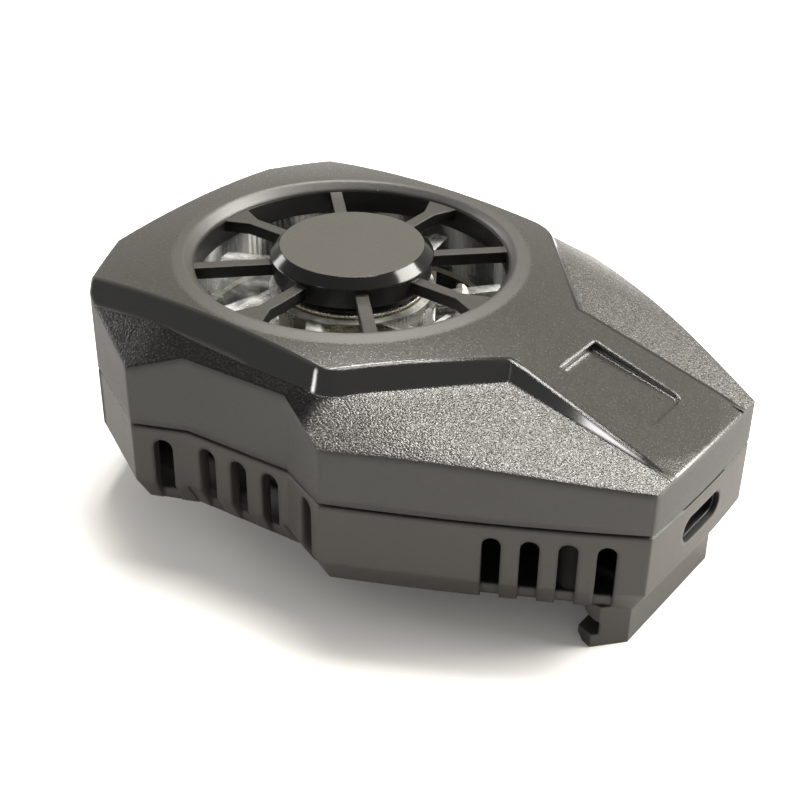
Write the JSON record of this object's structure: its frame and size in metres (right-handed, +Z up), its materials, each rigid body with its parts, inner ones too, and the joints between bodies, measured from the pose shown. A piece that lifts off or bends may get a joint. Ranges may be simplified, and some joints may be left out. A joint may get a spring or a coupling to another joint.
{
  "type": "phone cooling fan",
  "caption": "Clip-on phone cooling fan: faceted dark shell, spoked fan guard over a clear impeller, finned cooler on a contact plate and a sprung clamp jaw.",
  "frame": {"origin": "where the fan axis meets the contact face that lies on the phone's back", "axes": "+X along the body towards the socket and the sliding jaw, +Z up the fan axis away from the phone, +Y across the body"},
  "size_m": [0.0824, 0.0648, 0.0345],
  "materials": {
    "shell_plastic": "fine spark-eroded texture, satin",
    "cap_plastic": "fine texture on top, polished bevel",
    "jaw_plastic": "satin moulded",
    "black_plastic": "smooth moulded",
    "clear_plastic": "clear moulded",
    "board": "solder-masked laminate",
    "led": "white package",
    "plate_aluminium": "fine ground",
    "fin_aluminium": "extruded",
    "foam": "closed-cell foam",
    "tile_ceramic": "fired",
    "screw_steel": "plated",
    "socket_steel": "drawn and plated",
    "core_steel": "stacked sheets",
    "cup_steel": "drawn",
    "spring_steel": "wound wire",
    "copper": "enamelled wire",
    "bush_bronze": "sintered",
    "ferrite": "pressed",
    "capacitor": "fired",
    "washer_plastic": "stamped",
    "pad_rubber": "ribbed moulding"
  },
  "bodies": {
    "housing": {"top_shell": "shell_plastic", "grille": "shell_plastic", "hub_cap": "cap_plastic", "lower_shell": "shell_plastic", "light_ring": "clear_plastic", "led_board": "board", "leds": "led", "contact_plate": "plate_aluminium", "insulator": "foam", "thermo_tile": "tile_ceramic", "heat_sink": "fin_aluminium", "sink_screws": "screw_steel", "main_board": "board", "usb_shell": "socket_steel", "usb_tongue": "black_plastic", "driver_chip": "black_plastic", "inductor": "ferrite", "capacitors": "capacitor", "shell_screws": "screw_steel", "motor_board": "board", "stator_core": "core_steel", "coils": "copper", "bearing_bush": "bush_bronze", "motor_screws": "screw_steel", "return_springs": "spring_steel", "rear_hook": "jaw_plastic", "hook_pad": "pad_rubber", "hook_screws": "screw_steel"},
    "rotor": {"rotor_cup": "cup_steel", "magnet_ring": "ferrite", "shaft": "cup_steel", "shaft_washer": "washer_plastic", "impeller": "clear_plastic"},
    "jaw": {"clamp_jaw": "jaw_plastic", "jaw_pad": "pad_rubber"}
  },
  "joints": [
    {"name": "fan_spin", "type": "hinge", "parent": "housing", "child": "rotor", "pos_m": [0, 0, 0.0185], "axis": [0, 0, 1], "continuous": true},
    {"name": "jaw_slide", "type": "slide", "parent": "housing", "child": "jaw", "axis": [1, 0, 0], "range_m": [0, 0.015], "stiffness_N_per_m": 120, "springref_m": -0.004, "deforming": ["return_springs"]}
  ]
}
